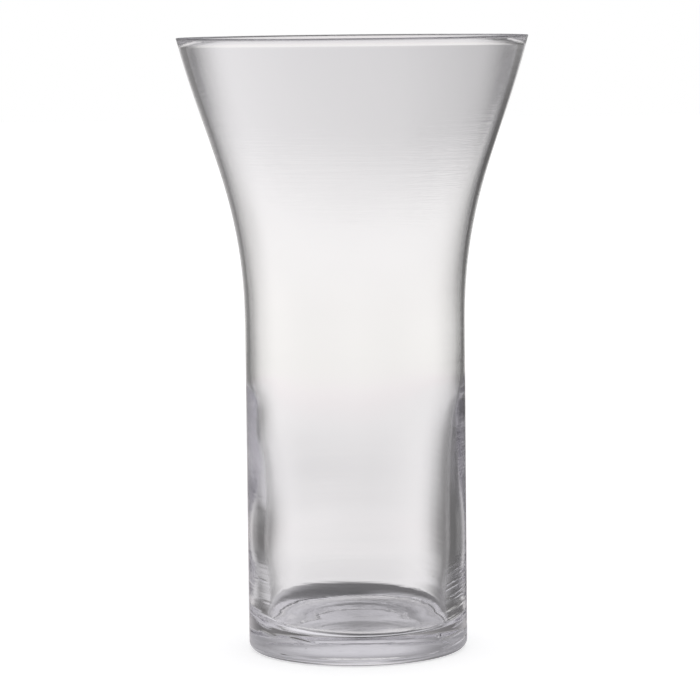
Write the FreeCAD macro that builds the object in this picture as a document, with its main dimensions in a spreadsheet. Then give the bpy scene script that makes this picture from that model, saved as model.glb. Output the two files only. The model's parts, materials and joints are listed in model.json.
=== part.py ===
import FreeCAD, Part
import os

import Sketcher
from FreeCAD import Placement, Rotation, Vector

# Trumpet vase: one piece of clear blown glass. A straight body with a heavy foot opens into a
# flared mouth. The wall is thin in the flare and thick near the floor, and the underside is
# ground to a flat ring round a shallow recess.
# Millimetres, +Z up. The origin is the centre of the ring that the vase stands on.

# Driving sizes: lengths in millimetres, lip_lean in degrees. Heights are measured from the
# standing ring, radii from the vase's axis, and walls level from the outside inwards. A pull is
# the length of a curve's handle: the longer it is, the further the curve keeps that direction.
SIZES = {
    # Outer form
    "overall_height": 250.0,
    "body_radius": 44.9,
    "rim_radius": 71.5,
    "flare_height": 116.25,
    "neck_pull": 51.3,
    "lip_pull": 44.9,
    "lip_lean": 14.2,
    "heel_round": 3.0,
    # Mouth and bore
    "rim_wall": 3.0,
    "rim_bevel": 0.8,
    "lip_land": 2.5,
    "upper_wall": 1.95,
    "lower_wall": 7.0,
    "floor_height": 12.0,
    "floor_round": 7.5,
    # Underside
    "recess_radius": 24.3,
    "recess_depth": 1.8,
    "recess_flank": 1.2,
    # How far a cut runs past the face that it opens
    "cut_overrun": 5.0,
}

# Where the wall thins from the lower to the upper one, as shares of the way up from the floor
# to the start of the flare
THINNING_START_SHARE = 0.385
THINNING_END_SHARE = 0.83

# Largest part of the rim's wall that each of its two bevels may take
BEVEL_SHARE = 0.45

# The two ways that an edge is finished
ROUND = "PartDesign::Fillet"
BEVEL = "PartDesign::Chamfer"

# How near an edge's radius and height must be to the ones looked for
EDGE_MATCH_SHARE = 1e-5

doc = FreeCAD.newDocument("TrumpetVase")
sheet = doc.addObject("Spreadsheet::Sheet", "Sizes")
for row, (alias, value) in enumerate(SIZES.items(), start=1):
    sheet.set("A%d" % row, "%.12g" % value)
    sheet.setAlias("A%d" % row, alias)
doc.recompute()


def size(formula):
    """A formula in the sheet's aliases, worked out as a plain number."""
    value = sheet.evalExpression(formula)
    return float(getattr(value, "Value", value))


class HalfSection:
    """A closed outline in the XZ plane, drawn from corner to corner.

    A corner is a pair of formulas, its radius and its height, which hold it in the sketch.
    """

    def __init__(self, body, name):
        plane = next(item for item in body.Origin.OriginFeatures if item.Role == "XZ_Plane")
        self.sketch = body.newObject("Sketcher::SketchObject", name)
        self.sketch.AttachmentSupport = [(plane, "")]
        self.sketch.MapMode = "FlatFace"
        self.corner = None
        self.first = None
        self.last = None

    def start(self, corner):
        self.corner = corner
        self.home = corner

    def line_to(self, corner):
        segment = Part.LineSegment(self._point(self.corner), self._point(corner))
        index = self.sketch.addGeometry(segment, False)
        self._join(index, corner)

    def curve_to(self, first_handle, second_handle, corner):
        """A cubic curve that leaves and arrives along its two handles."""
        poles = [self.corner, first_handle, second_handle, corner]
        curve = Part.BSplineCurve(
            [self._point(pole) for pole in poles], [4, 4], [0.0, 1.0], False, 3
        )
        index = self.sketch.addGeometry(curve, False)
        self._join(index, corner)
        self.sketch.exposeInternalGeometry(index)
        self._hold(index + 2, 3, first_handle)
        self._hold(index + 3, 3, second_handle)

    def close(self):
        self.line_to(self.home)
        self.sketch.addConstraint(
            Sketcher.Constraint("Coincident", self.last, 2, self.first, 1)
        )

    def _point(self, corner):
        radius, height = corner
        return Vector(size(radius), size(height), 0)

    def _join(self, index, corner):
        """Ties a new piece of outline to the one before it and holds its far end."""
        if self.last is None:
            self.first = index
            self._hold(index, 1, self.corner)
        else:
            self.sketch.addConstraint(
                Sketcher.Constraint("Coincident", self.last, 2, index, 1)
            )
        if corner != self.home:
            self._hold(index, 2, corner)
        self.corner = corner
        self.last = index

    def _hold(self, index, end, corner):
        """Holds a point at its radius and height, or on the axis that it lies on."""
        for kind, axis, formula in zip(("DistanceX", "DistanceY"), (-2, -1), corner):
            value = size(formula)
            if value == 0:
                self.sketch.addConstraint(
                    Sketcher.Constraint("PointOnObject", index, end, axis)
                )
            elif value > 0:
                number = self.sketch.addConstraint(
                    Sketcher.Constraint(kind, -1, 1, index, end, value)
                )
                self.sketch.setExpression("Constraints[%d]" % number, formula)
            else:
                number = self.sketch.addConstraint(
                    Sketcher.Constraint(kind, index, end, -1, 1, -value)
                )
                self.sketch.setExpression("Constraints[%d]" % number, "-(%s)" % formula)


def turn(body, outline, kind, name):
    """Turns a half section once round the vase's axis, as solid or as a cut."""
    doc.recompute()
    feature = body.newObject(kind, name)
    feature.Profile = outline.sketch
    feature.ReferenceAxis = (outline.sketch, ["V_Axis"])
    feature.Angle = 360
    outline.sketch.Visibility = False
    doc.recompute()
    return feature


def ring_edges(shape, rings):
    """Names of the round edges that lie at the given radii and heights."""
    names = []
    for radius_formula, height_formula in rings:
        radius, height = size(radius_formula), size(height_formula)
        near = EDGE_MATCH_SHARE * size("Sizes.overall_height")
        found = [
            "Edge%d" % number
            for number, edge in enumerate(shape.Edges, start=1)
            if isinstance(edge.Curve, Part.Circle)
            and abs(edge.Curve.Radius - radius) < near
            and abs(edge.Curve.Center.z - height) < near
        ]
        if not found:
            raise RuntimeError("no edge at radius %s, height %s" % (radius_formula, height_formula))
        names += found
    return names


def finish_edges(body, kind, name, rings, formula):
    """Rounds or bevels the edges at the given radii and heights, by the formula's size."""
    base = body.Tip
    feature = body.newObject(kind, name)
    feature.Base = (base, ring_edges(base.Shape, rings))
    feature.setExpression("Radius" if kind == ROUND else "Size", formula)
    doc.recompute()


# Formulas that several outlines share
FLARE_START = "Sizes.overall_height - Sizes.flare_height"
NECK_HANDLE = FLARE_START + " + Sizes.neck_pull"
LIP_HANDLE_RADIUS = "Sizes.rim_radius - Sizes.lip_pull * sin(Sizes.lip_lean)"
LIP_HANDLE_HEIGHT = "Sizes.overall_height - Sizes.lip_pull * cos(Sizes.lip_lean)"
LIP_LAND_HEIGHT = "Sizes.overall_height - Sizes.lip_land"
UPPER_BORE = "Sizes.body_radius - Sizes.upper_wall"
LOWER_BORE = "Sizes.body_radius - Sizes.lower_wall"
MOUTH_RADIUS = "Sizes.rim_radius - Sizes.rim_wall"
RECESS_MOUTH = "Sizes.recess_radius + Sizes.recess_flank"


def height_in_bore(share):
    """Height at a share of the way up from the floor to the start of the flare."""
    return "Sizes.floor_height + %g * (%s - Sizes.floor_height)" % (share, FLARE_START)


def lip_land_radius(edge_radius, handle_radius):
    """Radius where a flare ends, in line with its upper handle, and the lip's straight band starts."""
    return "%s - Sizes.lip_land * (%s - (%s)) / (Sizes.lip_pull * cos(Sizes.lip_lean))" % (
        edge_radius,
        edge_radius,
        handle_radius,
    )


def outer_form(body):
    """The blown outside: a straight body, and a flare that is steepest below the lip."""
    outline = HalfSection(body, "outer_section")
    outline.start(("0", "0"))
    outline.line_to(("Sizes.body_radius", "0"))
    outline.line_to(("Sizes.body_radius", FLARE_START))
    outline.curve_to(
        ("Sizes.body_radius", NECK_HANDLE),
        (LIP_HANDLE_RADIUS, LIP_HANDLE_HEIGHT),
        (lip_land_radius("Sizes.rim_radius", LIP_HANDLE_RADIUS), LIP_LAND_HEIGHT),
    )
    outline.line_to(("Sizes.rim_radius", "Sizes.overall_height"))
    outline.line_to(("0", "Sizes.overall_height"))
    outline.close()
    return turn(body, outline, "PartDesign::Revolution", "outer_form")


def bore(body):
    """The inside: narrow between thick walls, then wider as the wall thins, then the flare."""
    top = "Sizes.overall_height + Sizes.cut_overrun"
    mouth_handle_radius = LIP_HANDLE_RADIUS + " - Sizes.upper_wall"
    outline = HalfSection(body, "bore_section")
    outline.start(("0", "Sizes.floor_height"))
    outline.line_to((LOWER_BORE, "Sizes.floor_height"))
    outline.line_to((LOWER_BORE, height_in_bore(THINNING_START_SHARE)))
    outline.line_to((UPPER_BORE, height_in_bore(THINNING_END_SHARE)))
    outline.line_to((UPPER_BORE, FLARE_START))
    outline.curve_to(
        (UPPER_BORE, NECK_HANDLE),
        (mouth_handle_radius, LIP_HANDLE_HEIGHT),
        (lip_land_radius("(%s)" % MOUTH_RADIUS, mouth_handle_radius), LIP_LAND_HEIGHT),
    )
    outline.line_to((MOUTH_RADIUS, "Sizes.overall_height"))
    outline.line_to((MOUTH_RADIUS, top))
    outline.line_to(("0", top))
    outline.close()
    return turn(body, outline, "PartDesign::Groove", "bore")


def foot_recess(body):
    """The shallow recess that leaves a flat ring to stand on."""
    below = "-Sizes.cut_overrun"
    outline = HalfSection(body, "recess_section")
    outline.start(("0", "Sizes.recess_depth"))
    outline.line_to(("Sizes.recess_radius", "Sizes.recess_depth"))
    outline.line_to((RECESS_MOUTH, "0"))
    outline.line_to((RECESS_MOUTH, below))
    outline.line_to(("0", below))
    outline.close()
    return turn(body, outline, "PartDesign::Groove", "foot_recess")


def vase_body():
    """The whole vase, in the order that the glass is blown, cut and finished."""
    body = doc.addObject("PartDesign::Body", "vase_body")
    body.Label = "vase_body"
    body.Placement = Placement(Vector(0, 0, 0), Rotation())

    volume = outer_form(body).Shape.Volume
    for cut in (bore, foot_recess):
        left = cut(body).Shape.Volume
        if left >= volume:
            raise RuntimeError("%s takes no glass away" % cut.__name__)
        volume = left

    floor_corner = (LOWER_BORE, "Sizes.floor_height")
    heel = ("Sizes.body_radius", "0")
    rim_edges = [
        ("Sizes.rim_radius", "Sizes.overall_height"),
        (MOUTH_RADIUS, "Sizes.overall_height"),
    ]
    bevel = "min(Sizes.rim_bevel; %g * Sizes.rim_wall)" % BEVEL_SHARE
    finish_edges(body, ROUND, "floor_corner", [floor_corner], "Sizes.floor_round")
    finish_edges(body, ROUND, "heel", [heel], "Sizes.heel_round")
    finish_edges(body, BEVEL, "rim_bevels", rim_edges, bevel)
    return body


subparts = [vase_body()]
doc.recompute()

for item in doc.Objects:
    if "Invalid" in item.State or "Error" in item.State:
        raise RuntimeError("%s failed: %s" % (item.Name, item.State))

os.makedirs("parts", exist_ok=True)
for subpart in subparts:
    shape = subpart.Shape
    if shape.isNull() or not shape.isValid() or len(shape.Solids) != 1:
        raise RuntimeError("%s is not one sound solid" % subpart.Label)
    shape.exportStep("parts/%s.step" % subpart.Label)
    box = shape.optimalBoundingBox()
    print(subpart.Label, "faces", len(shape.Faces), "volume mm3", round(shape.Volume))
    print("  width, depth and height mm", round(box.XLength, 2), round(box.YLength, 2), round(box.ZLength, 2))
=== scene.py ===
"""A trumpet vase of clear blown glass, and the white studio that it stands in.

Metres, +Z up. The origin is the centre of the ring that the vase stands on. The camera is in front
of it, on the -Y side, and +X is on its right. A turn round the vase is 0 on the right and 90
degrees at the back.
"""

import functools
import json
import math

import bmesh
import bpy
from bpy.props import FloatProperty, FloatVectorProperty, IntProperty, PointerProperty
from mathutils import Matrix, Vector


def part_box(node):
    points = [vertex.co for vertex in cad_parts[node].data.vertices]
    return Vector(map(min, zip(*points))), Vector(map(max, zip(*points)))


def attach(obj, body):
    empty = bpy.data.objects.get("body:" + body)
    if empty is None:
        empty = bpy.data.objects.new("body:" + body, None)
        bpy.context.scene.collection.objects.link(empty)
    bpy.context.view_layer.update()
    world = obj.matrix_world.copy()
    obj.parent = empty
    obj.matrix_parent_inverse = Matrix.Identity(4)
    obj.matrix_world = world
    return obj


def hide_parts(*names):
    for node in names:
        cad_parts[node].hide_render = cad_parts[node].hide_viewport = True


bl_info = {
    "name": "Trumpet Vase",
    "version": (1, 0, 0),
    "blender": (4, 5, 0),
    "location": "View3D > Sidebar > Trumpet Vase",
    "description": "Blows a clear glass trumpet vase and sets it in a white studio",
    "category": "Object",
}

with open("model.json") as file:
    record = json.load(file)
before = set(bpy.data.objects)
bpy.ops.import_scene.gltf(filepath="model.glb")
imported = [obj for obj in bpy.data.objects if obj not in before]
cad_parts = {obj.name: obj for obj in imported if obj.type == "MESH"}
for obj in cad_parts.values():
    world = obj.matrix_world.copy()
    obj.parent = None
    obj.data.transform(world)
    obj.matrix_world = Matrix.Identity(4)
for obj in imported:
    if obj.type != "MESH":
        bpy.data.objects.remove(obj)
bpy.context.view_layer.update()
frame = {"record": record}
GLASS_NODE = frame["record"]["subparts"][0]["node"]
VASE_LOW, VASE_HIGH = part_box(GLASS_NODE)

MILLIMETRES = 1000  # in a metre
HUNDREDTHS = 100
HALF_TURN = 180
FULL_TURN = 360
WHITE = (1.0, 1.0, 1.0)

# How far the finished lip stays inside the frame's box, because a round one swells past the facets
LIP_CLEARANCE = 0.0001

# How far the table lies below the vase, so that the two never share a plane
TABLE_GAP = 0.0002

# Light that is trapped in the thick foot and the lip comes out black with fewer bounces
LIGHT_BOUNCES = 128

# Numbers of the glass's finishes in the mesh
BLOWN, GROUND, PRESSED, CUT = range(4)


class VaseForm(bpy.types.PropertyGroup):
    """Sizes of the blown glass. Heights are from the standing ring, radii from the vase's axis."""

    height: FloatProperty(
        name="Height",
        description="Height of the lip above the standing ring",
        default=VASE_HIGH.z,
        unit="LENGTH",
    )
    lip_radius: FloatProperty(
        name="Lip Radius",
        description="Largest radius, just under the rounded lip",
        default=VASE_HIGH.x - LIP_CLEARANCE,
        unit="LENGTH",
    )
    body_radius: FloatProperty(
        name="Body Radius",
        description="Outer radius of the straight body",
        default=0.0449,
        unit="LENGTH",
    )
    flare_start: FloatProperty(
        name="Flare Start",
        description="Height where the straight body begins to open",
        default=0.13375,
        unit="LENGTH",
    )
    neck_pull: FloatProperty(
        name="Neck Pull",
        description="How far the flare keeps the body's direction",
        default=0.0513,
        unit="LENGTH",
    )
    lip_pull: FloatProperty(
        name="Lip Pull",
        description="How far down the lip's slope holds",
        default=0.0449,
        unit="LENGTH",
    )
    lip_lean: FloatProperty(
        name="Lip Lean",
        description="Lean of the lip away from upright",
        default=math.radians(14.2),
        unit="ROTATION",
    )
    lip_wall: FloatProperty(
        name="Lip Wall",
        description="Thickness of the glass at the lip",
        default=0.003,
        unit="LENGTH",
    )
    upper_wall: FloatProperty(
        name="Upper Wall",
        description="Thickness of the glass above the thinning",
        default=0.00195,
        unit="LENGTH",
    )
    floor_height: FloatProperty(
        name="Floor Height",
        description="Height of the floor's middle above the standing ring",
        default=0.0116,
        unit="LENGTH",
    )
    floor_round: FloatProperty(
        name="Floor Round",
        description="Usual radius of the round where the wall meets the floor",
        default=0.0055,
        unit="LENGTH",
    )
    heel_round: FloatProperty(
        name="Heel Round",
        description="Radius of the round at the foot's outer edge, in front",
        default=0.003,
        unit="LENGTH",
    )
    recess_radius: FloatProperty(
        name="Recess Radius",
        description="Radius of the shallow recess underneath",
        default=0.0255,
        unit="LENGTH",
    )
    recess_depth: FloatProperty(
        name="Recess Depth",
        description="Depth of the recess in its middle",
        default=0.0006,
        unit="LENGTH",
    )
    foot_lines_top: FloatProperty(
        name="Foot Lines Top",
        description="Height up to which chill lines cross the foot",
        default=0.037,
        unit="LENGTH",
    )
    floor_lean: FloatProperty(
        name="Floor Lean",
        description="How much lower the floor is on the camera's side than in its middle",
        default=0.0012,
        unit="LENGTH",
    )
    ring_edge: FloatProperty(
        name="Ring Edge",
        description="Width of the soft edge between the recess and the standing ring",
        default=0.0004,
        unit="LENGTH",
    )
    lip_outer_round: FloatProperty(
        name="Lip Outer Round",
        description="Radius that softens the lip's outer edge",
        default=0.00035,
        unit="LENGTH",
    )
    lip_inner_round: FloatProperty(
        name="Lip Inner Round",
        description="Radius that rounds the lip's inner edge",
        default=0.0012,
        unit="LENGTH",
    )
    faces_round: IntProperty(
        name="Faces Round",
        description="Faces round the vase",
        default=160,
        min=24,
    )


class GlassFinish(bpy.types.PropertyGroup):
    """The glass itself and its surface."""

    tint: FloatVectorProperty(
        name="Tint",
        description="Colour of light that passes through the glass",
        subtype="COLOR",
        size=3,
        default=(0.998, 0.997, 0.998),
    )
    # Painted shade: a grey that the glass turns to where it is seen edge on, in place of the dark
    # edges that light gives glass there
    painted_edge_shade: FloatVectorProperty(
        name="Edge Tint",
        description="Colour where the glass is seen edge on",
        subtype="COLOR",
        size=3,
        default=(0.8, 0.8, 0.81),
    )
    body_tint: FloatVectorProperty(
        name="Body Tint",
        description="Colour that light keeps on a long way through the glass",
        subtype="COLOR",
        size=3,
        default=(0.80, 0.79, 0.82),
    )
    body_density: FloatProperty(
        name="Body Density",
        description="How fast the glass takes on its tint, per metre",
        default=5.0,
    )
    refraction: FloatProperty(
        name="Index of Refraction",
        description="How strongly the glass bends light",
        default=1.5,
    )
    polish: FloatProperty(
        name="Polish",
        description="Roughness of the clean, fire polished glass",
        default=0.0,
        subtype="FACTOR",
    )
    smudge: FloatProperty(
        name="Smudge",
        description="Roughness that faint smudges of handling add",
        default=0.02,
        subtype="FACTOR",
    )
    ground: FloatProperty(
        name="Ground",
        description="Roughness of the ground and polished standing ring",
        default=0.05,
        subtype="FACTOR",
    )
    pressed: FloatProperty(
        name="Pressed",
        description="Roughness of the pressed recess",
        default=0.04,
        subtype="FACTOR",
    )
    cut: FloatProperty(
        name="Cut",
        description="Roughness of the cut lip",
        default=0.32,
        subtype="FACTOR",
    )
    streak_depth: FloatProperty(
        name="Streak Depth",
        description="Depth of the streaks and waves that blowing leaves",
        default=0.00003,
        unit="LENGTH",
        precision=6,
    )


class WhiteStudio(bpy.types.PropertyGroup):
    """The white studio and the place that the vase is looked at from."""

    backdrop: FloatProperty(
        name="Backdrop",
        description="Brightness of the studio, with a white backdrop at 1",
        default=1.0,
    )
    room: FloatProperty(
        name="Room",
        description="Brightness of the room that lights dull surfaces",
        default=0.7,
    )
    plain_tint: FloatVectorProperty(
        name="Plain Tint",
        description="Tint of the backdrop above and below its warm part",
        subtype="COLOR",
        size=3,
        default=(1.0, 0.984, 0.992),
    )
    warm_tint: FloatVectorProperty(
        name="Warm Tint",
        description="Tint of the backdrop's warm part",
        subtype="COLOR",
        size=3,
        default=(1.0, 0.986, 0.968),
    )
    blush_tint: FloatVectorProperty(
        name="Blush Tint",
        description="Faintly pink tint just below the backdrop's warm part",
        subtype="COLOR",
        size=3,
        default=(1.0, 0.958, 0.968),
    )
    # Low down, this tint also colours the painted shadow of the vase on the table that the glass
    # sees
    cool_tint: FloatVectorProperty(
        name="Cool Tint",
        description="Tint of the table near the vase, and of the studio higher up",
        subtype="COLOR",
        size=3,
        default=(0.985, 0.97, 1.02),
    )
    table: FloatVectorProperty(
        name="Table",
        description="Colour of the pale table",
        subtype="COLOR",
        size=3,
        default=(0.82, 0.82, 0.83),
    )
    table_glow: FloatProperty(
        name="Table Glow",
        description="How much the camera sees the table as white by itself",
        default=0.55,
        subtype="FACTOR",
    )
    table_size: FloatProperty(
        name="Table Size",
        description="Width of the table",
        default=12.0,
        unit="LENGTH",
    )
    eye: FloatVectorProperty(
        name="Eye",
        description="Place of the camera",
        subtype="TRANSLATION",
        size=3,
        default=(-0.002124, -1.3354, 0.26460),
    )
    tilt: FloatProperty(
        name="Tilt",
        description="How far the camera looks down",
        default=math.radians(6.075),
        unit="ROTATION",
    )
    roll: FloatProperty(
        name="Roll",
        description="How far the camera leans clockwise",
        default=math.radians(0.614),
        unit="ROTATION",
    )
    lens: FloatProperty(
        name="Lens",
        description="Focal length in millimetres",
        default=169.16,
    )


class Outline:
    """Points of a half section as radius and height, drawn from the axis round to the axis."""

    def __init__(self):
        self.points = []

    def run(self, place_at, steps):
        """Points at even shares of a stretch, from its start up to just before its end."""
        self.points += [place_at(step / steps) for step in range(steps)]

    def line(self, start, end, steps):
        """A straight stretch."""
        self.run(lambda share: start.lerp(end, share), steps)

    def arc(self, centre, radius, start, end, steps):
        """Angles are in degrees, from outwards (0) to up (90)."""

        def place_at(share):
            angle = math.radians(start + (end - start) * share)
            return centre + radius * Vector((math.cos(angle), math.sin(angle)))

        self.run(place_at, steps)

    def curve(self, poles, steps):
        """A cubic curve, from its four poles."""
        first, second, third, fourth = poles

        def place_at(share):
            rest = 1 - share
            return (
                first * rest**3
                + second * 3 * rest**2 * share
                + third * 3 * rest * share**2
                + fourth * share**3
            )

        self.run(place_at, steps)


def smooth_share(value, start, end):
    """0 at start and 1 at end, with a soft beginning and end."""
    share = min(1.0, max(0.0, (value - start) / (end - start)))
    return share * share * (3 - 2 * share)


# Thickness of the glass above the floor, as (height, thickness) in millimetres. The gather was
# blown unevenly: it steps to the thin wall on the left and runs into it softly on the right.
STEPPED_SIDE = (
    (22, 8.3),
    (29, 7.9),
    (40, 7.0),
    (58, 6.65),
    (72, 5.6),
    (88, 3.9),
    (101, 3.1),
    (108.5, 2.1),
    (114, 1.95),
)
SOFT_SIDE = (
    (20, 8.2),
    (26, 7.8),
    (36, 7.05),
    (58, 6.4),
    (76, 5.35),
    (92, 4.0),
    (108, 2.2),
    (120, 1.95),
)
FRONT_AND_BACK = (
    (19, 8.7),
    (27, 7.9),
    (34, 7.4),
    (42, 7.0),
    (50, 6.8),
    (60, 6.2),
    (72, 4.9),
    (84, 3.65),
    (97, 2.65),
    (110, 2.1),
    (124, 1.95),
)

# How quickly each side's wall gives way to that of the front and the back, as a power
STEPPED_HOLD = 6
SOFT_HOLD = 2


def along(stops, place):
    """A smooth line through stops of place and value."""
    if place <= stops[0][0]:
        return stops[0][1]
    if place >= stops[-1][0]:
        return stops[-1][1]
    after = next(number for number, stop in enumerate(stops) if stop[0] > place)
    before = after - 1

    def slope(number):
        low = stops[max(number - 1, 0)]
        high = stops[min(number + 1, len(stops) - 1)]
        return (high[1] - low[1]) / (high[0] - low[0])

    step = stops[after][0] - stops[before][0]
    share = (place - stops[before][0]) / step
    rest = 1 - share
    return (
        stops[before][1] * rest * rest * (1 + 2 * share)
        + slope(before) * step * share * rest * rest
        + stops[after][1] * share * share * (3 - 2 * share)
        - slope(after) * step * share * share * rest
    )


def bore_wall(height, turn):
    """Thickness of the straight body's glass at a height and a turn, in metres."""
    aside = math.cos(turn)
    stepped = max(0.0, -aside) ** STEPPED_HOLD
    soft = max(0.0, aside) ** SOFT_HOLD
    place = height * MILLIMETRES
    wall = (
        stepped * along(STEPPED_SIDE, place)
        + soft * along(SOFT_SIDE, place)
        + (1 - stepped - soft) * along(FRONT_AND_BACK, place)
    )
    return wall / MILLIMETRES


def flare_poles(form, radius, lip, wall=0.0):
    """The four poles of the flare's outside, or of its inside when a wall is given."""
    slope = Vector((math.sin(form.lip_lean), math.cos(form.lip_lean)))
    lip_point = Vector((lip, form.height))
    return (
        Vector((radius, form.flare_start)),
        Vector((radius, form.flare_start + form.neck_pull)),
        lip_point - form.lip_pull * slope - Vector((wall, 0)),
        lip_point,
    )


# Waves of the inside: how many go round the vase, where they start in radians, over how many
# millimetres of height they turn by a radian, and how deep they are as a share of WAVER_DEPTH
WAVER_DEPTH = 0.00004
WAVER_WAVES = (
    (2, 0.6, 31, 1.0),
    (3, -1.1, -23, 0.6),
    (7, 0.0, 17, 0.35),
    (11, 2.0, -29, 0.25),
)

# How far below the lip the waver sets in, and where it is full
WAVER_START = 0.004
WAVER_FULL = 0.03


def hand_waver(turn, height):
    """How far the inside wanders from a true round, in metres."""
    place = height * MILLIMETRES
    waves = (
        share * math.sin(count * turn + start + place / drift)
        for count, start, drift, share in WAVER_WAVES
    )
    return WAVER_DEPTH * sum(waves)


# Chill lines of the foot: a start and an end, each a turn in degrees and a height in millimetres,
# then the depth and the width in hundredths of a millimetre
CHILL_LINES = (
    ((-38, 24.5), (-2, 28.0), 14, 30),
    ((-36, 23.0), (-3, 25.6), 16, 34),
    ((-37, 18.2), (-4, 21.8), 12, 28),
    ((-40, 13.8), (-5, 17.4), 16, 38),
    ((-33, 11.6), (-2, 14.2), 12, 30),
    ((-42, 3.9), (-4, 6.0), 22, 36),
    ((-44, 7.6), (-12, 9.0), 18, 34),
    ((-30, 32.6), (-8, 35.2), 8, 26),
    ((-27, 30.2), (-3, 32.8), 8, 28),
    ((-20, 8.4), (4, 10.0), 12, 34),
    ((-158, 14.2), (-141, 12.4), 14, 30),
    ((-152, 11.0), (-138, 9.8), 12, 32),
    ((-128, 10.6), (-112, 8.8), 10, 30),
    ((-176, 28.6), (-160, 28.0), 9, 28),
    ((-170, 20.0), (-146, 19.0), 7, 32),
    ((38, 12.5), (66, 14.6), 8, 30),
)

# Over which share of its length a chill line fades in, and out again
CHILL_FADE = 0.25


def chill(turn, height):
    """Depth of the chill lines at a place on the foot, in metres."""
    degrees = math.degrees(turn)
    if degrees > HALF_TURN:
        degrees -= FULL_TURN
    depth = 0.0
    for (start, low), (end, high), deep, wide in CHILL_LINES:
        share = (degrees - start) / (end - start)
        if not 0 < share < 1:
            continue
        away = (height * MILLIMETRES - low - (high - low) * share) / (wide / HUNDREDTHS)
        fade = min(1.0, share / CHILL_FADE, (1 - share) / CHILL_FADE)
        depth += deep / (HUNDREDTHS * MILLIMETRES) * fade * math.exp(-away * away)
    return depth


# How the foot departs from a true round, as shares: the heel is sharper at the back, and the round
# at the floor is wider at the back on the left and tighter in front
SHARPER_HEEL = 0.6
WIDER_FLOOR_ROUND = 0.42
WIDEST_FLOOR_ROUND = math.radians(150)
TIGHTER_FLOOR_ROUND = 0.4

# The recess is a dome that falls off with this power of the radius
DOME_POWER = 4
# Height of the soft edge beside the recess, as a share of its width
RING_EDGE_RISE = 0.3
# Where the lip's outer round takes over from the flare, in degrees up from outwards
LIP_TAKEOVER = 15


def draw_foot(outline, form, turn):
    """The recess, the standing ring, the heel, and the foot's side with its chill lines."""
    outline.run(
        lambda share: Vector(
            (form.recess_radius * share, form.recess_depth * (1 - share**DOME_POWER))
        ),
        steps=24,
    )
    ring_start = Vector((form.recess_radius + form.ring_edge, 0))
    edge_top = Vector((form.recess_radius, form.ring_edge * RING_EDGE_RISE))
    outline.line(edge_top, ring_start, steps=2)
    heel_round = form.heel_round * (1 - SHARPER_HEEL * max(0.0, math.sin(turn)) ** 2)
    heel = Vector((form.body_radius - heel_round, heel_round))
    outline.line(ring_start, Vector((heel.x, 0)), steps=3)
    outline.arc(heel, heel_round, -90, 0, steps=14)

    def side(share):
        height = heel_round + (form.foot_lines_top - heel_round) * share
        return Vector((form.body_radius - chill(turn, height), height))

    outline.run(side, steps=160)


def draw_outside(outline, form):
    """The straight body and the flare."""
    foot_top = Vector((form.body_radius, form.foot_lines_top))
    outline.line(foot_top, Vector((form.body_radius, form.flare_start)), steps=12)
    outline.curve(flare_poles(form, form.body_radius, form.lip_radius), steps=60)
    # The lip's outer round takes the place of the last point
    outline.points.pop()


def draw_lip(outline, form):
    """The flat cut lip with its two small rounds."""
    outer_round = form.lip_outer_round
    inner_round = form.lip_inner_round
    outer_edge = Vector((form.lip_radius - outer_round, form.height - outer_round))
    inner_edge = Vector(
        (form.lip_radius - form.lip_wall + inner_round, form.height - inner_round)
    )
    flat_start = Vector((outer_edge.x, form.height))
    flat_end = Vector((inner_edge.x, form.height))
    outline.arc(outer_edge, outer_round, LIP_TAKEOVER, 90, steps=6)
    outline.line(flat_start, flat_end, steps=4)
    outline.arc(inner_edge, inner_round, 90, 180, steps=10)


def draw_flare_inside(outline, form, turn):
    """The inside of the flare, from the lip down to where the straight bore starts."""
    rising = Outline()
    rising.curve(
        flare_poles(
            form,
            form.body_radius - form.upper_wall,
            form.lip_radius - form.lip_wall,
            form.upper_wall - form.lip_wall,
        ),
        steps=80,
    )
    lip_foot = form.height - form.lip_inner_round
    falling = [point for point in reversed(rising.points) if point.y < lip_foot]
    # The straight bore has the last point
    for point in falling[:-1]:
        share = smooth_share(form.height - point.y, WAVER_START, WAVER_FULL)
        point.x += share * hand_waver(turn, point.y)
        outline.points.append(point)


def draw_bore(outline, form, turn):
    """The straight bore, the round at its foot, and the floor as far as the axis."""
    floor_edge = form.floor_height + math.sin(turn) * form.floor_lean
    floor_round = form.floor_round * (
        1 + WIDER_FLOOR_ROUND * math.cos(turn - WIDEST_FLOOR_ROUND)
    )
    floor_round *= 1 - TIGHTER_FLOOR_ROUND * max(0.0, -math.sin(turn))
    corner_height = floor_edge + floor_round

    def side(share):
        height = form.flare_start + (corner_height - form.flare_start) * share
        radius = form.body_radius - bore_wall(height, turn) + hand_waver(turn, height)
        return Vector((radius, height))

    outline.run(side, steps=160)
    corner = side(1) - Vector((floor_round, 0))
    outline.arc(corner, floor_round, 0, -90, steps=24)
    middle = Vector((0, form.floor_height))
    outline.line(Vector((corner.x, floor_edge)), middle, steps=8)
    outline.points.append(middle)


def glass_outline(form, turn):
    """The half section of the whole vase, from under the floor round to the floor's middle."""
    outline = Outline()
    draw_foot(outline, form, turn)
    draw_outside(outline, form)
    draw_lip(outline, form)
    draw_flare_inside(outline, form, turn)
    draw_bore(outline, form, turn)
    return outline.points


# Seeds: gas bubbles in the glass, as (place, half sizes) in millimetres.
SEEDS = (
    ((31.7, -28.7, 9.7), (1.25, 1.15, 1.1)),
    ((37.4, -21.0, 4.6), (0.30, 0.35, 0.25)),
    ((38.6, -19.6, 3.2), (0.22, 0.25, 0.2)),
    ((29.6, -30.6, 34.0), (0.22, 0.2, 0.32)),
    ((-20.0, -33.5, 6.0), (0.25, 0.25, 0.18)),
    ((8.0, 30.0, 7.0), (0.35, 0.35, 0.22)),
    ((-34.0, 14.0, 8.5), (0.3, 0.3, 0.25)),
    ((30.0, 22.0, 5.0), (0.28, 0.28, 0.2)),
)


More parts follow.
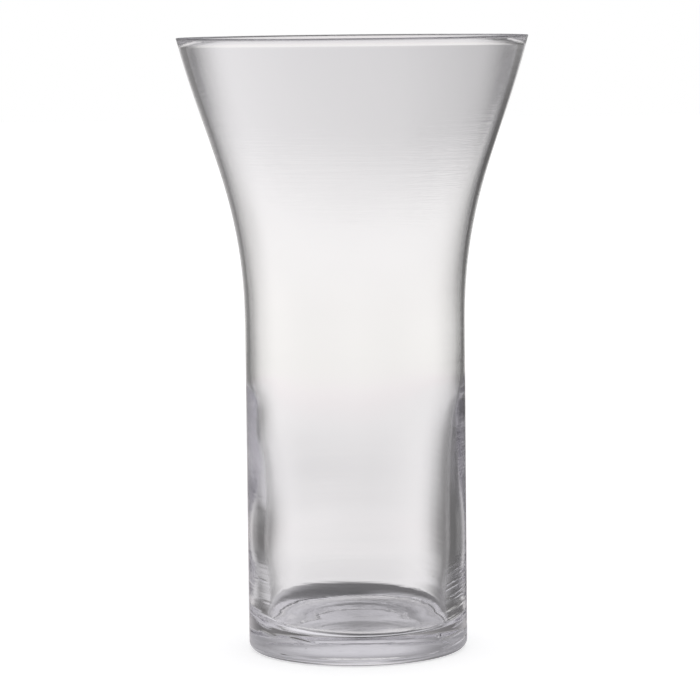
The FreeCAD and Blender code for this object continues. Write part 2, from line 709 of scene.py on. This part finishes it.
def seed_point(mesh, seed, ball):
    """A point on a seed's skin, from the same point of a ball of radius 1."""
    place = [(middle + half * share) / MILLIMETRES for middle, half, share in zip(*seed, ball)]
    return mesh.verts.new(place)


def add_seeds(mesh, around=20, levels=12):
    """Hollows in the glass, with faces that look into the gas."""
    for seed in SEEDS:
        rings = []
        for level in range(1, levels):
            rise = math.pi * level / levels
            ring = []
            for step in range(around):
                turn = math.tau * step / around
                side = (math.sin(rise) * math.cos(turn), math.sin(rise) * math.sin(turn))
                ring.append(seed_point(mesh, seed, (*side, math.cos(rise))))
            rings.append(ring)
        top = seed_point(mesh, seed, (0, 0, 1))
        foot = seed_point(mesh, seed, (0, 0, -1))
        faces = []
        for step in range(around):
            after = (step + 1) % around
            faces.append(mesh.faces.new((top, rings[0][after], rings[0][step])))
            faces.append(mesh.faces.new((foot, rings[-1][step], rings[-1][after])))
            for above, below in zip(rings, rings[1:]):
                faces.append(
                    mesh.faces.new((above[step], above[after], below[after], below[step]))
                )
        for face in faces:
            face.smooth = True


# Faces lower than this are the flat of the standing ring
RING_REACH = 1e-6
# A ring of points nearer to the axis than this is one point on it
AXIS_REACH = 1e-7


def worked_finish(form, place):
    """The number of the finish that the glass has at a place."""
    if place.z < RING_REACH:
        return GROUND
    if place.z < form.recess_depth and place.xy.length < form.recess_radius:
        return PRESSED
    return CUT if place.z > form.height - form.lip_inner_round else BLOWN


def turned_mesh(name, draw, steps, finish_of):
    """A closed mesh round the axis, from the half section that draw(turn) gives at each step."""
    mesh = bmesh.new()
    turns = [math.tau * step / steps for step in range(steps)]
    rings = []
    for points in zip(*(draw(turn) for turn in turns)):
        if max(point.x for point in points) < AXIS_REACH:
            rings.append([mesh.verts.new((0, 0, points[0].y))])
            continue
        rings.append(
            [
                mesh.verts.new((point.x * math.cos(turn), point.x * math.sin(turn), point.y))
                for point, turn in zip(points, turns)
            ]
        )
    for below, above in zip(rings, rings[1:]):
        for step in range(steps):
            after = (step + 1) % steps
            if len(below) == 1:
                mesh.faces.new((below[0], above[step], above[after])).normal_flip()
            elif len(above) == 1:
                mesh.faces.new((below[step], below[after], above[0]))
            else:
                mesh.faces.new((below[step], below[after], above[after], above[step]))
    bmesh.ops.recalc_face_normals(mesh, faces=mesh.faces)
    for face in mesh.faces:
        face.smooth = True
        face.material_index = finish_of(face.calc_center_median())
    add_seeds(mesh)
    data = bpy.data.meshes.new(name)
    mesh.to_mesh(data)
    mesh.free()
    return data


def opaque(colour):
    """A colour with its alpha. What comes from another node stays as it is."""
    return colour if isinstance(colour, bpy.types.NodeSocket) else (*colour, 1.0)


# Sockets of a Mix node that mixes colours
MIX_FACTOR = 0
MIX_FIRST = 6
MIX_SECOND = 7
MIX_RESULT = 2


class Shader:
    """Adds nodes to a shader tree, each with its settings and what feeds its sockets."""

    def __init__(self, tree):
        self.tree = tree
        tree.nodes.clear()

    def add(self, kind, feeds=None, **settings):
        """A node, with a value or another node's output for each socket that is fed."""
        prefix = "Node" if kind in ("GroupInput", "GroupOutput") else "ShaderNode"
        node = self.tree.nodes.new(prefix + kind)
        for name, value in settings.items():
            setattr(node, name, value)
        for socket, source in (feeds or {}).items():
            if isinstance(source, bpy.types.NodeSocket):
                self.tree.links.new(source, node.inputs[socket])
            else:
                node.inputs[socket].default_value = source
        return node

    def math(self, operation, *values):
        """What an operation makes of its values."""
        return self.add("Math", dict(enumerate(values)), operation=operation).outputs[0]

    def total(self, values):
        """The sum of the values, added up in their order."""
        return functools.reduce(lambda first, second: self.math("ADD", first, second), values)

    def ramp(self, factor, stops):
        """A soft ramp through (place, brightness or colour) stops."""
        node = self.add("ValToRGB", {"Fac": factor})
        ramp = node.color_ramp
        ramp.interpolation = "EASE"
        while len(ramp.elements) < len(stops):
            ramp.elements.new(1.0)
        for element, (place, colour) in zip(ramp.elements, stops):
            element.position = place
            element.color = opaque((colour,) * 3 if isinstance(colour, float) else colour)
        return node.outputs["Color"]

    def mix(self, factor, first, second, blend="MIX"):
        """A mix of two colours."""
        feeds = {MIX_FACTOR: factor, MIX_FIRST: opaque(first), MIX_SECOND: opaque(second)}
        return self.add("Mix", feeds, data_type="RGBA", blend_type=blend).outputs[MIX_RESULT]


def group_tree(name, inputs, output):
    """A shader group's tree with its named numbers in and its one number out."""
    tree = bpy.data.node_groups.new(name, "ShaderNodeTree")
    for title in inputs:
        tree.interface.new_socket(title, in_out="INPUT", socket_type="NodeSocketFloat")
    tree.interface.new_socket(output, in_out="OUTPUT", socket_type="NodeSocketFloat")
    return tree


def stretched_noise(shader, stretch, detail, rough):
    """Noise over the object's own place in metres, stretched by counts per metre on each axis."""
    place = shader.add("TexCoord").outputs["Object"]
    mapping = shader.add("Mapping", {"Vector": place, "Scale": stretch})
    noise = shader.add(
        "TexNoise",
        {"Vector": mapping.outputs[0], "Scale": 1.0, "Detail": detail, "Roughness": rough},
    )
    return noise.outputs["Fac"]


# What blowing leaves in the surface: level striae, drawn streaks and soft waves, each with its
# noise's counts per metre, detail and roughness
STREAKS = (
    ("Striae", (14.0, 14.0, 620.0), 3.0, 0.6),
    ("Draw", (120.0, 120.0, 7.0), 2.0, 0.5),
    ("Waves", (38.0, 38.0, 26.0), 1.0, 0.5),
)

# What handling leaves on it: each mark's noise as above, and the levels of the noise where the
# mark begins and where it is full
MARKS = (
    ("Smudge", (55.0, 55.0, 34.0), 4.0, 0.65, (0.56, 0.72)),
    ("Scuff", (900.0, 900.0, 900.0), 3.0, 0.7, (0.45, 0.65)),
)


def glass_streaks_group():
    """Height of what blowing leaves in the surface."""
    tree = group_tree("glass_streaks", [name for name, *_ in STREAKS], "Height")
    shader = Shader(tree)
    given = shader.add("GroupInput").outputs
    heights = [
        shader.math("MULTIPLY", stretched_noise(shader, *noise), given[name])
        for name, *noise in STREAKS
    ]
    shader.add("GroupOutput", {"Height": shader.total(heights)})
    return tree


def handling_group():
    """Roughness of a surface that is handled: clean, with faint smudges and fine scuffs."""
    tree = group_tree("handling", ["Clean", *(name for name, *_ in MARKS)], "Roughness")
    shader = Shader(tree)
    given = shader.add("GroupInput").outputs
    roughness = [given["Clean"]]
    for name, *noise, (start, full) in MARKS:
        mark = shader.ramp(stretched_noise(shader, *noise), [(start, 0.0), (full, 1.0)])
        roughness.append(shader.math("MULTIPLY", mark, given[name]))
    shader.add("GroupOutput", {"Roughness": shader.total(roughness)})
    return tree


def placed_group(shader, name, build, feeds):
    """What a named group puts out. The group is built the first time."""
    tree = bpy.data.node_groups.get(name) or build()
    return shader.add("Group", feeds, node_tree=tree).outputs[0]


# The finishes of the glass in the order of their numbers: the material's name, the values of
# GlassFinish for its painted edge shade (the plain tint on the ground ring, which gets none) and
# its clean roughness, the roughness of its scuffs, and the depths of its striae, drawn streaks and
# waves as shares of the streak depth
FINISHES = (
    ("clear_glass", "painted_edge_shade", "polish", 0.0, (0.6, 0.5, 1.0)),
    ("ground_ring", "tint", "ground", 0.12, (0.0, 0.5, 1.0)),
    ("pressed_recess", "painted_edge_shade", "pressed", 0.1, (0.0, 0.6, 5.0)),
    ("cut_lip", "painted_edge_shade", "cut", 0.15, (0.0, 0.5, 1.0)),
)

# How far off square the glass is seen where its painted edge shade sets in, and how softly it
# does.
# The shade is a grey in the glass's colour that stands in for the dark edges glass shows edge on
EDGE_SHADE_START = 0.35
EDGE_SHADE_SOFTNESS = 0.05


def glass_material(finish, name, painted_edge_shade, clean, scuff, depths):
    """Clear glass with painted shade at a glancing look, roughness and surface streaks."""
    material = bpy.data.materials.new(name)
    material.use_nodes = True
    shader = Shader(material.node_tree)
    # Painted shade: the base colour goes to the edge shade grey where the glass is seen at a
    # glancing look
    facing = shader.add("LayerWeight", {"Blend": 0.5}).outputs["Facing"]
    past_start = shader.math("SUBTRACT", facing, EDGE_SHADE_START)
    edge = shader.math("SMOOTH_MAX", past_start, 0.0, EDGE_SHADE_SOFTNESS)
    streaks = {title: depth for (title, *_), depth in zip(STREAKS, depths)}
    height = placed_group(shader, "glass_streaks", glass_streaks_group, streaks)
    bump = shader.add(
        "Bump", {"Strength": 1.0, "Distance": finish.streak_depth, "Height": height}
    )
    marks = {"Clean": getattr(finish, clean), "Smudge": finish.smudge, "Scuff": scuff}
    glass = shader.add(
        "BsdfPrincipled",
        {
            "Base Color": shader.mix(edge, finish.tint, getattr(finish, painted_edge_shade)),
            "Roughness": placed_group(shader, "handling", handling_group, marks),
            "IOR": finish.refraction,
            "Transmission Weight": 1.0,
            "Normal": bump.outputs["Normal"],
        },
    )
    absorption = shader.add(
        "VolumeAbsorption",
        {"Color": opaque(finish.body_tint), "Density": finish.body_density},
    )
    shader.add(
        "OutputMaterial",
        {"Surface": glass.outputs["BSDF"], "Volume": absorption.outputs["Volume"]},
    )
    return material


# What the glass sees round it, from the table under it up to the ceiling. A band holds at its
# elevation in degrees and blends into the next one. Its stops are directions in degrees, from the
# camera's side (-180) over the left (-90), the backdrop (0) and the right (90), with a brightness.
# At 180 it closes with the brightness it starts with.
# Painted shadow: in the bands from -66 to -20.5 degrees, where the glass would see the table, the
# dark stops near the backdrop's direction stand in for the vase's shadow on the table close behind
# it
SURROUNDINGS = (
    (-82, ((-180, 0.75), (0, 0.7), (85, 0.75))),
    (-66, ((-180, 0.7), (-85, 0.85), (-45, 0.75), (-12, 0.35), (0, 0.06), (30, 0.15), (85, 0.6))),
    (-35, ((-180, 0.7), (-85, 0.9), (-45, 0.8), (-12, 0.35), (0, 0.06), (30, 0.15), (85, 0.6))),
    (-20.5, ((-180, 0.8), (-85, 0.95), (-50, 0.6), (-12, 0.45), (0, 0.08), (30, 0.15), (85, 0.6))),
    (
        -17,
        (
            (-180, 0.6),
            (-85, 0.95),
            (-62, 0.32),
            (-34, 0.22),
            (-12, 0.82),
            (0, 0.68),
            (9, 0.84),
            (23, 0.15),
            (50, 0.15),
            (85, 0.5),
            (135, 0.85),
        ),
    ),
    (
        -9,
        (
            (-180, 0.7),
            (-135, 0.45),
            (-90, 0.95),
            (-46, 0.12),
            (-22, 0.25),
            (-7, 0.94),
            (5.5, 0.87),
            (17, 0.12),
            (52, 0.14),
            (85, 0.6),
            (135, 0.85),
        ),
    ),
    (
        -3.9,
        (
            (-180, 0.8),
            (-135, 0.5),
            (-90, 0.95),
            (-50, 0.42),
            (-22, 0.2),
            (-7, 0.94),
            (10, 0.94),
            (20, 0.1),
            (36, 0.45),
            (60, 0.65),
            (85, 0.9),
        ),
    ),
    (
        -1.7,
        (
            (-180, 0.9),
            (-135, 0.5),
            (-90, 0.92),
            (-50, 0.3),
            (-14, 0.26),
            (-5, 0.8),
            (0, 0.74),
            (5, 0.56),
            (10, 0.4),
            (34, 0.45),
            (85, 0.8),
        ),
    ),
    (
        3,
        (
            (-180, 0.9),
            (-135, 0.55),
            (-90, 0.85),
            (-50, 0.35),
            (-14, 0.28),
            (-5, 0.76),
            (0, 0.68),
            (5, 0.54),
            (10, 0.4),
            (34, 0.25),
            (85, 0.7),
        ),
    ),
    (7, ((-180, 0.7), (-90, 0.8), (-40, 0.4), (0, 0.62), (40, 0.3), (85, 0.7))),
    (
        11,
        (
            (-180, 0.6),
            (-85, 0.7),
            (-60, 0.3),
            (-36, 0.24),
            (-12, 0.7),
            (12, 0.72),
            (46, 0.3),
            (85, 0.6),
        ),
    ),
    (20, ((-180, 0.5), (-85, 0.6), (-34, 0.3), (0, 0.38), (34, 0.4), (85, 0.65))),
    (40, ((-180, 0.5), (-85, 0.5), (-30, 0.15), (0, 0.05), (22, 0.4), (85, 0.7))),
)

# Tints of what the glass sees, by elevation in degrees
STUDIO_TINTS = (
    (-30, "cool_tint"),
    (-12.5, "plain_tint"),
    (-9.8, "blush_tint"),
    (-7, "warm_tint"),
    (-1, "plain_tint"),
    (6, "cool_tint"),
)


def angle_share(shader, angle, span):
    """A ramp's factor for an angle in degrees, over a span of angles round 0."""
    return shader.math("ADD", shader.math("DIVIDE", angle, span), 0.5)


def angle_ramp(shader, factor, stops, span):
    """A ramp with its stops at angles in degrees, over a span of angles round 0."""
    return shader.ramp(factor, [(0.5 + angle / span, value) for angle, value in stops])


def surroundings(shader, turn, rise):
    """Brightness in a direction, from its turn round the vase and its rise, both in degrees."""
    factor = angle_share(shader, turn, FULL_TURN)
    level = None
    below = None
    for height, stops in SURROUNDINGS:
        closing = (HALF_TURN, stops[0][1])
        band = angle_ramp(shader, factor, (*stops, closing), FULL_TURN)
        if level is None:
            level = band
        else:
            feeds = {"Value": rise, "From Min": below, "From Max": height}
            level = shader.mix(shader.add("MapRange", feeds).outputs["Result"], level, band)
        below = height
    return level


def studio_world(studio):
    """A white backdrop for the camera, an even room for dull surfaces, and bands for the glass."""
    world = bpy.data.worlds.new("white_studio")
    world.use_nodes = True
    shader = Shader(world.node_tree)
    direction = shader.add("TexCoord").outputs["Generated"]
    split = shader.add("SeparateXYZ", {"Vector": direction}).outputs
    turn = shader.math("DEGREES", shader.math("ARCTAN2", split["X"], split["Y"]))
    rise = shader.math("DEGREES", shader.math("ARCSINE", split["Z"]))
    tints = [(angle, getattr(studio, name)) for angle, name in STUDIO_TINTS]
    tint = angle_ramp(shader, angle_share(shader, rise, HALF_TURN), tints, HALF_TURN)
    seen = shader.mix(1.0, surroundings(shader, turn, rise), tint, "MULTIPLY")
    path = shader.add("LightPath").outputs
    in_glass = shader.math("MAXIMUM", path["Is Glossy Ray"], path["Is Transmission Ray"])
    lit = shader.mix(in_glass, (studio.room,) * 3, seen)
    colour = shader.mix(path["Is Camera Ray"], lit, WHITE)
    background = shader.add("Background", {"Color": colour, "Strength": studio.backdrop})
    shader.add("OutputWorld", {"Surface": background.outputs["Background"]})
    bpy.context.scene.world = world


def table_material(studio):
    """A matt table that the camera sees a little lighter than it is lit."""
    material = bpy.data.materials.new("pale_table")
    material.use_nodes = True
    shader = Shader(material.node_tree)
    path = shader.add("LightPath").outputs
    glow = shader.math("MULTIPLY", path["Is Camera Ray"], studio.table_glow)
    matt = shader.add(
        "BsdfPrincipled",
        {
            "Base Color": opaque(studio.table),
            "Roughness": 0.9,
            "Specular IOR Level": 0.1,
            "Emission Color": opaque(WHITE),
            "Emission Strength": glow,
        },
    )
    shader.add("OutputMaterial", {"Surface": matt.outputs["BSDF"]})
    return material


class VASE_OT_blow_glass(bpy.types.Operator):
    """Blow the glass: the body, the flared lip, the bore and the ground foot"""

    bl_idname = "vase.blow_glass"
    bl_label = "Blow Glass"

    def execute(self, context):
        form = context.scene.vase_form
        mesh = turned_mesh(
            "blown_glass",
            lambda turn: glass_outline(form, turn),
            form.faces_round,
            lambda place: worked_finish(form, place),
        )
        finish = context.scene.glass_finish
        for row in FINISHES:
            mesh.materials.append(glass_material(finish, *row))
        glass = bpy.data.objects.new("blown_glass", mesh)
        context.scene.collection.objects.link(glass)
        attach(glass, "root")
        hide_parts(GLASS_NODE)
        return {"FINISHED"}


class VASE_OT_set_stage(bpy.types.Operator):
    """Set the pale table, the white studio round it and the camera"""

    bl_idname = "vase.set_stage"
    bl_label = "Set Stage"

    def execute(self, context):
        studio = context.scene.white_studio
        scene = context.scene
        mesh = bmesh.new()
        bmesh.ops.create_grid(mesh, x_segments=8, y_segments=8, size=studio.table_size / 2)
        data = bpy.data.meshes.new("pale_table")
        mesh.to_mesh(data)
        mesh.free()
        data.materials.append(table_material(studio))
        table = bpy.data.objects.new("pale_table", data)
        table.location.z = VASE_LOW.z - TABLE_GAP
        # The glass doesn't see the table: the world's low bands stand in for it, with the vase's
        # shadow painted in
        table.visible_transmission = False
        table.visible_glossy = False
        scene.collection.objects.link(table)
        studio_world(studio)
        lens = bpy.data.cameras.new("camera")
        lens.lens = studio.lens
        lens.sensor_width = 36.0
        lens.clip_end = 50.0
        camera = bpy.data.objects.new("camera", lens)
        camera.matrix_world = (
            Matrix.Translation(studio.eye)
            @ Matrix.Rotation(math.radians(90) - studio.tilt, 4, "X")
            @ Matrix.Rotation(-studio.roll, 4, "Z")
        )
        scene.collection.objects.link(camera)
        scene.camera = camera
        scene.view_settings.view_transform = "Standard"
        scene.cycles.max_bounces = LIGHT_BOUNCES
        scene.cycles.glossy_bounces = LIGHT_BOUNCES
        scene.cycles.transmission_bounces = LIGHT_BOUNCES
        return {"FINISHED"}


class VASE_PT_tools(bpy.types.Panel):
    """Sizes, finish and studio, with the steps that make them"""

    bl_idname = "VASE_PT_tools"
    bl_label = "Trumpet Vase"
    bl_space_type = "VIEW_3D"
    bl_region_type = "UI"
    bl_category = "Trumpet Vase"

    def draw(self, context):
        scene = context.scene
        for group, operator in (
            (scene.vase_form, "vase.blow_glass"),
            (scene.glass_finish, None),
            (scene.white_studio, "vase.set_stage"),
        ):
            column = self.layout.column()
            for name in type(group).__annotations__:
                column.prop(group, name)
            if operator:
                self.layout.operator(operator)


CLASSES = (
    VaseForm,
    GlassFinish,
    WhiteStudio,
    VASE_OT_blow_glass,
    VASE_OT_set_stage,
    VASE_PT_tools,
)


def register():
    for item in CLASSES:
        bpy.utils.register_class(item)
    bpy.types.Scene.vase_form = PointerProperty(type=VaseForm)
    bpy.types.Scene.glass_finish = PointerProperty(type=GlassFinish)
    bpy.types.Scene.white_studio = PointerProperty(type=WhiteStudio)


def unregister():
    del bpy.types.Scene.vase_form
    del bpy.types.Scene.glass_finish
    del bpy.types.Scene.white_studio
    for item in reversed(CLASSES):
        bpy.utils.unregister_class(item)


def main():
    register()
    bpy.ops.vase.blow_glass()
    bpy.ops.vase.set_stage()


if __name__ == "__main__":
    main()
